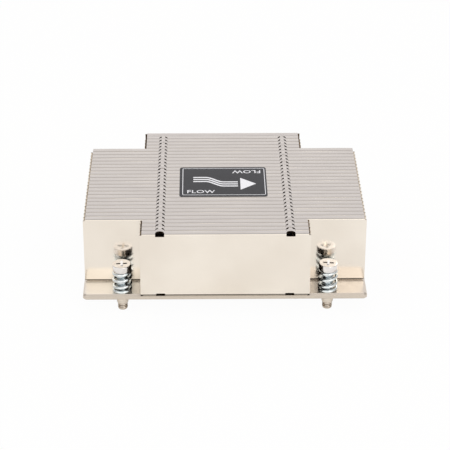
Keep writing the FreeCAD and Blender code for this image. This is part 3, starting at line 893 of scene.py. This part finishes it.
def ribbon(x, y, width):
    """Flat band (along, across, xy) of even width across the path's own direction."""
    path = np.stack([x, y], -1)
    along = np.gradient(path, axis=0)
    along /= np.linalg.norm(along, axis=1, keepdims=True)
    normal = np.stack([-along[:, 1], along[:, 0]], -1)
    return np.stack([path - normal * width / 2, path + normal * width / 2], axis=1)


def smooth_step(t):
    """0 below 0, 1 above 1, and 3 t^2 - 2 t^3 between."""
    t = np.clip(t, 0, 1)
    return t * t * (3 - 2 * t)


insets = (BORDER_INSET, BORDER_INSET + BORDER_LINE)
border = np.stack([round_rectangle(i, corner) for i, corner in zip(insets, BORDER_CORNERS)], axis=1)
prints = {"border": raised(border + BORDER_SHIFT, grid_quads(OUTLINE_POINTS, 2, closed_i=True))}
x = np.linspace(LINE_START, LINE_END, LINE_POINTS)
drop = BEND_DROP * smooth_step((x - BEND_START) / BEND_LENGTH)
for number in range(3):
    band = ribbon(x, LINE_Y + LINE_SPACING * (1 - number) - drop, LINE_WIDTH)
    prints["air_line_%d" % (number + 1)] = raised(band, grid_quads(LINE_POINTS, 2))
back = [(ARROW_BACK, ARROW_Y - ARROW_HALF), (ARROW_BACK, ARROW_Y + ARROW_HALF)]
head = np.array([back, [(ARROW_TIP, ARROW_Y)] * 2])
prints["arrowhead"] = raised(head, grid_quads(2, 2))
for name, (points, faces) in prints.items():
    make_piece("label_print_" + name, points, faces, label_white, "root")
print("printed shapes", sorted(prints))

# %% [markdown]
# ### The word
# Letters come from Blender's own font. A text object is turned into a mesh first, then its
# points are fitted to a box on the label, and turned half round for the second copy.

# %% Word
WORD = "FLOW"
BOLDER = 0.012  # thickens the letters, in the font's own units
NEAR_BOX = ((-14.7, -11.1), (-3.6, -8.5))
FAR_BOX = ((3.4, 6.3), (14.9, 8.95))


def flat_letters(name):
    """The word as a flat mesh, as large as Blender's font makes it."""
    curve = bpy.data.curves.new(name, "FONT")
    curve.body = WORD
    curve.resolution_u = 4
    curve.offset = BOLDER
    holder = add_object(name + "_text", curve)
    flat = bpy.data.meshes.new_from_object(holder.evaluated_get(bpy.context.evaluated_depsgraph_get()))
    bpy.data.objects.remove(holder)
    return flat


def extrude_up(mesh):
    """Makes a flat mesh one unit thick, upwards."""
    work = bmesh.new()
    work.from_mesh(mesh)
    made = bmesh.ops.extrude_face_region(work, geom=work.faces[:])["geom"]
    moved = [v for v in made if isinstance(v, bmesh.types.BMVert)]
    bmesh.ops.translate(work, verts=moved, vec=(0, 0, 1))
    bmesh.ops.recalc_face_normals(work, faces=work.faces)
    work.to_mesh(mesh)
    work.free()


def word(name, box, half_turn):
    """The word stretched to fill a box (low, high) on the label, upside down if asked."""
    letters = flat_letters(name)
    merge_doubles(letters, 1e-5)
    extrude_up(letters)
    p = np.empty(len(letters.vertices) * 3)
    letters.vertices.foreach_get("co", p)
    p = p.reshape(-1, 3)
    p = (p - p.min(axis=0)) / (p.max(axis=0) - p.min(axis=0))
    if half_turn:
        p[:, :2] = 1 - p[:, :2]
    low, high = np.array([*box[0], FILM_TOP]), np.array([*box[1], LABEL_HIGH[2]])
    letters.vertices.foreach_set("co", ((low + p * (high - low)) * MM).ravel())
    letters.materials.clear()
    letters.materials.append(label_white)
    piece = add_object(name, letters)
    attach(piece, "root")


word("label_print_word_near", NEAR_BOX, False)
word("label_print_word_far", FAR_BOX, True)

# %% [markdown]
# ## The table
# The part stands on its screws' tips on a white table. A plain white diffuse floor would come
# out grey and uneven under soft light. So the camera sees it nearly as its own white, with a
# little of its shadow kept, and the metal sees it a little brighter than it is lit.

# %% Floor
FLOOR_HALF = 3.0  # metres
OWN_WHITE_SEEN = 0.96
OWN_WHITE_MIRRORED = 0.25


def floor_material():
    """White floor that glows by a share, which depends on what kind of ray meets it."""
    material, tree = new_material("white_sweep")
    path = node(tree, "LightPath").outputs
    diffuse = node(tree, "BsdfDiffuse", {"Color": linear("#F7F6F3")})
    glow = node(tree, "Emission", {"Color": (1, 1, 1, 1), "Strength": 1.0})
    share = path["Is Transmission Ray"]
    for ray, own_white in (("Is Camera Ray", OWN_WHITE_SEEN), ("Is Glossy Ray", OWN_WHITE_MIRRORED)):
        part = node(tree, "Math", {0: path[ray], 1: own_white}, operation="MULTIPLY")
        share = node(tree, "Math", {0: share, 1: part}, operation="MAXIMUM")
    mix = node(tree, "MixShader", {0: share, 1: diffuse, 2: glow})
    node(tree, "OutputMaterial", {"Surface": mix})
    return material


mesh = bpy.data.meshes.new("floor")
corners = [(x * FLOOR_HALF, y * FLOOR_HALF, TIP_Z * MM) for x, y in ((-1, -1), (1, -1), (1, 1), (-1, 1))]
mesh.from_pydata(corners, [], [(0, 1, 2, 3)])
mesh.materials.append(floor_material())
floor = add_object("floor", mesh)
print("floor at %.2f mm" % TIP_Z)

# %% [markdown]
# ## The room
# Polished metal has hardly any look of its own: it shows the room. A panorama of a real room
# could be wrapped round the scene. This one is bright, soft and worked out from direction
# alone, so its parts can be set one by one: the wall behind the part, the wall behind the
# camera, a ceiling that is greyer than both, and sides that are dimmer.

# %% World
# colours by height, the sine of the elevation
BEHIND_PART = [(0.0, "#FFFFFF"), (0.22, "#FBF9F8"), (0.38, "#DEDDE0"), (0.47, "#DCDBDF"),
               (0.87, "#BAB8BA"), (1.0, "#A9A7A8")]
BEHIND_CAMERA = [(0.0, "#F2F0EC"), (0.17, "#FBF9F5"), (0.66, "#F7F5F1"), (0.87, "#CFCDCC"),
                 (1.0, "#A9A7A8")]
ROOM_STRENGTH = 1.2

world = bpy.data.worlds.new("bright_room")
world.use_nodes = True
tree = world.node_tree
tree.nodes.clear()
path = node(tree, "LightPath").outputs
direction = node(tree, "TexCoord").outputs["Generated"]
split = node(tree, "SeparateXYZ", {0: direction}).outputs
walls = []
for stops in (BEHIND_CAMERA, BEHIND_PART):
    wall = node(tree, "ValToRGB", {0: split["Z"]})
    elements = wall.color_ramp.elements
    while len(elements) < len(stops):
        elements.new(0.5)
    for element, (position, colour) in zip(elements, stops):
        element.position = position
        element.color = linear(colour)
    walls.append(wall.outputs["Color"])
beyond = node(tree, "MapRange", {0: split["Y"], 1: -0.12, 2: 0.12})
aside = node(tree, "Math", {0: split["X"]}, operation="ABSOLUTE")
dimmed = node(tree, "MapRange", {0: aside, 1: 0.62, 2: 0.95, 4: 0.75})
room = layered(tree, walls[0], (beyond, walls[1]), (dimmed, "#6A6866"))
background = node(tree, "Background", {"Color": room, "Strength": ROOM_STRENGTH})
white = node(tree, "Background", {"Color": (1, 1, 1, 1), "Strength": 1.0})
mix = node(tree, "MixShader", {0: path["Is Camera Ray"], 1: background, 2: white})
node(tree, "OutputWorld", {"Surface": mix})
bpy.context.scene.world = world
print("world nodes", len(tree.nodes))

# %% [markdown]
# ### Lamps
# The room alone would light every side alike. Two large soft lamps, one overhead and one in
# front, give the part a top and a front, and the metal something to catch. The one overhead
# doesn't show in the metal, where its square would look like a window.

# %% Lamps


def soft_lamp(name, place, side, power, colour):
    """Square area lamp at a place, in metres, facing the part at the origin."""
    data = bpy.data.lights.new(name, "AREA")
    data.shape = "SQUARE"
    data.size = side
    data.energy = power
    data.color = linear(colour)[:3]
    lamp = add_object(name, data)
    lamp.location = place
    lamp.rotation_euler = (Vector((0, 0, 0)) - Vector(place)).to_track_quat("-Z", "Y").to_euler()
    return lamp


overhead = soft_lamp("overhead_softbox", (0.0, 0.0, 0.9), side=0.8, power=1.8, colour="#FFFFFF")
overhead.visible_glossy = False
soft_lamp("front_softbox", (0.45, -1.0, 0.7), side=0.5, power=1.2, colour="#FFF8F0")

# %% [markdown]
# ## The camera
# A long lens looks down at the part from in front of it. Its place could be found by eye.
# It is measured instead: elevation, turn about Z and roll in degrees, the point it looks at
# and how far it is from there in millimetres, and the lens.

# %% Camera
ELEVATION, TURN, ROLL = (math.radians(v) for v in (28.351, 0.838, 0.147))
AIM = Vector((0.691, 12.763, 2.5)) * MM
DISTANCE = 732.32 * MM
LENS = 140.684
flat = math.cos(ELEVATION)
forward = Vector((math.sin(TURN) * flat, math.cos(TURN) * flat, -math.sin(ELEVATION)))
right = Vector((math.cos(TURN), -math.sin(TURN), 0))
up = right.cross(forward)
tilted_right = right * math.cos(ROLL) + up * math.sin(ROLL)
tilted_up = up * math.cos(ROLL) - right * math.sin(ROLL)
data = bpy.data.cameras.new("camera")
data.sensor_width = 36
data.lens = LENS
camera = add_object("camera", data)
camera.matrix_world = Matrix.Translation(AIM - forward * DISTANCE) @ Matrix(
    (tilted_right, tilted_up, -forward)).transposed().to_4x4()
bpy.context.scene.camera = camera
bpy.context.scene.view_settings.view_transform = "Standard"
print("camera at", [round(v, 3) for v in camera.location])
